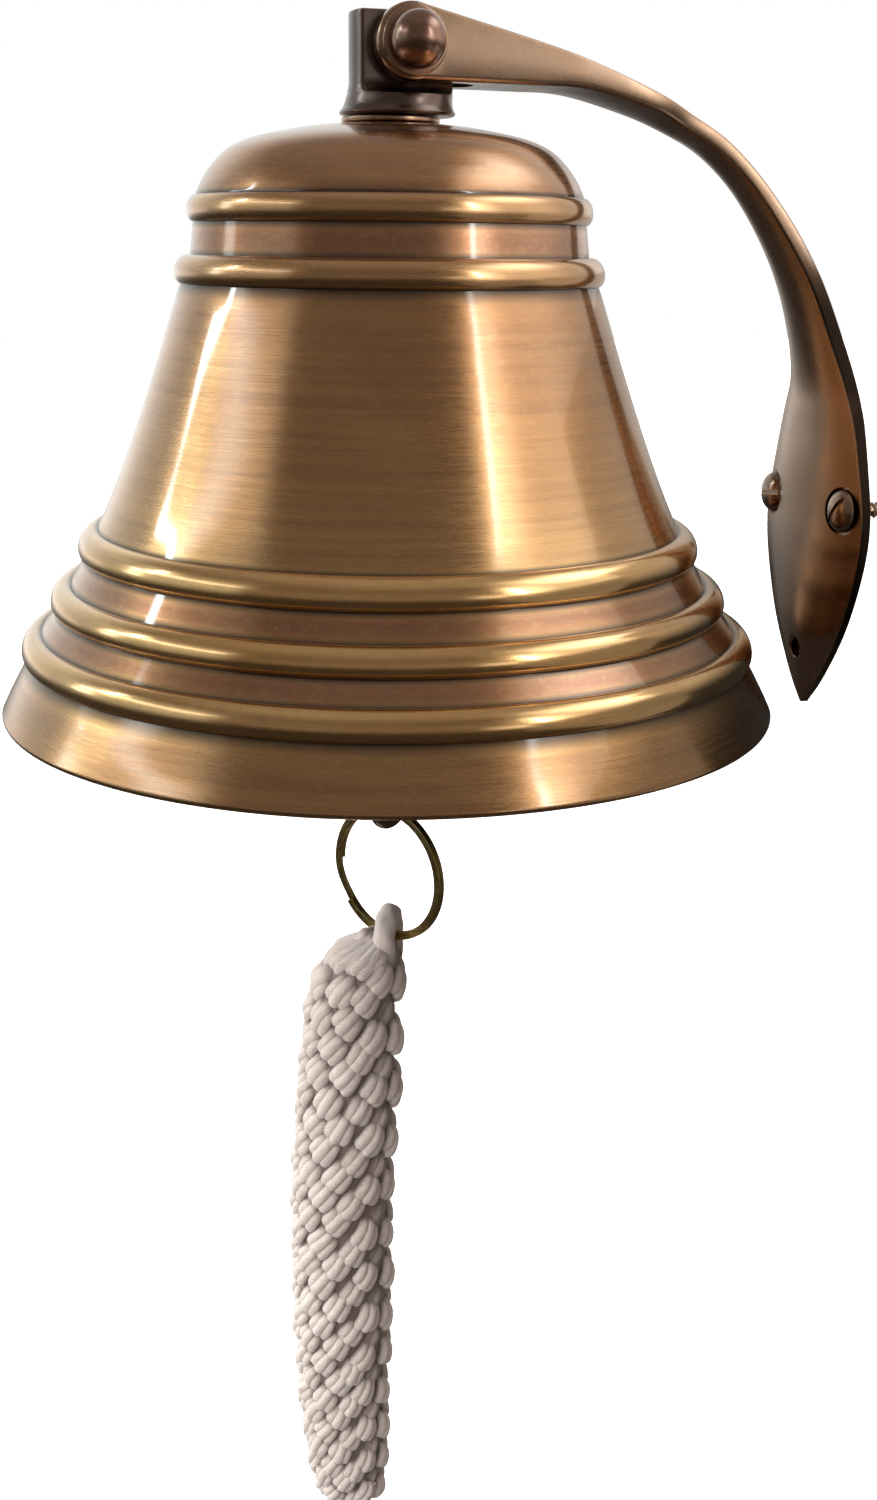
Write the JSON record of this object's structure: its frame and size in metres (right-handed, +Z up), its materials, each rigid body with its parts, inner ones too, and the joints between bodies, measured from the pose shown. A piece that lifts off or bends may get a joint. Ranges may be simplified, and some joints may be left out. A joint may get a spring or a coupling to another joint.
{
  "type": "ship bell",
  "caption": "Wall-mounted ship bell: domed cast bracket with a fork, flared beaded bell on a pivot bolt, ball clapper on a link, split ring and knotted rope lanyard.",
  "frame": {"origin": "middle of the bracket leaf's flat back, level with the two upper screws", "axes": "+Y points into the wall and is the back face's outward normal, +Z is up, +X runs along the wall and along the pivot bolt"},
  "size_m": [0.1776, 0.2206, 0.3763],
  "materials": {
    "bracket_bronze": "cast brass, browned patina, polished",
    "screw_bronze": "slotted round-head brass screw, browned",
    "hardware_bronze": "dark bronzed brass, glossy",
    "bell_brass": "antique brass, turned, copper-brown in the recesses and golden on the beads",
    "clapper_bronze": "dark bronzed brass rod and wire",
    "clapper_brass": "turned brass ball, worn on its striking band",
    "ring_brass": "bright flat brass wire",
    "cotton_rope": "undyed laid cotton cord, knotted as a crown sennit"
  },
  "bodies": {
    "bracket": {"wall_bracket": "bracket_bronze", "wall_screw_right": "screw_bronze", "wall_screw_left": "screw_bronze", "pivot_washer_right": "hardware_bronze", "pivot_washer_left": "hardware_bronze", "pivot_bolt": "hardware_bronze", "pivot_nut": "hardware_bronze"},
    "bell": {"bell_shell": "bell_brass", "hanger_block": "bracket_bronze", "hanger_stud": "hardware_bronze", "crown_washer": "bell_brass", "inner_washer": "hardware_bronze", "hanger_nut": "hardware_bronze", "clapper_eye": "clapper_bronze"},
    "link": {"clapper_link": "clapper_bronze"},
    "clapper": {"clapper_rod": "clapper_bronze", "clapper_ball": "clapper_brass", "clapper_tail": "clapper_bronze"},
    "ring": {"split_ring": "ring_brass"},
    "lanyard_top": {"lanyard_loop": "cotton_rope", "lanyard_upper": "cotton_rope"},
    "lanyard_end": {"lanyard_lower": "cotton_rope"}
  },
  "joints": [
    {"name": "bell_swing", "type": "hinge", "parent": "bracket", "child": "bell", "pos_m": [0, -0.1092, 0.1005], "axis": [1, 0, 0], "range_deg": [-12, 5]},
    {"name": "link_swing", "type": "hinge", "parent": "bell", "child": "link", "pos_m": [0, -0.1115, 0.0508], "axis": [1, 0, 0], "range_deg": [-36, 36]},
    {"name": "clapper_sway", "type": "hinge", "parent": "link", "child": "clapper", "pos_m": [0, -0.1115, 0.0357], "axis": [0, 1, 0], "range_deg": [-8, 8]},
    {"name": "ring_swing", "type": "hinge", "parent": "clapper", "child": "ring", "pos_m": [0, -0.1115, -0.0709], "axis": [0.8434, 0.5373, 0], "range_deg": [-20, 20]},
    {"name": "lanyard_swing", "type": "hinge", "parent": "ring", "child": "lanyard_top", "pos_m": [0, -0.1115, -0.0871], "axis": [-0.5373, 0.8434, 0], "range_deg": [-20, 20]},
    {"name": "lanyard_bend", "type": "hinge", "parent": "lanyard_top", "child": "lanyard_end", "pos_m": [0, -0.1238, -0.185], "axis": [0.8434, 0.5373, 0], "range_deg": [-20, 20]}
  ]
}
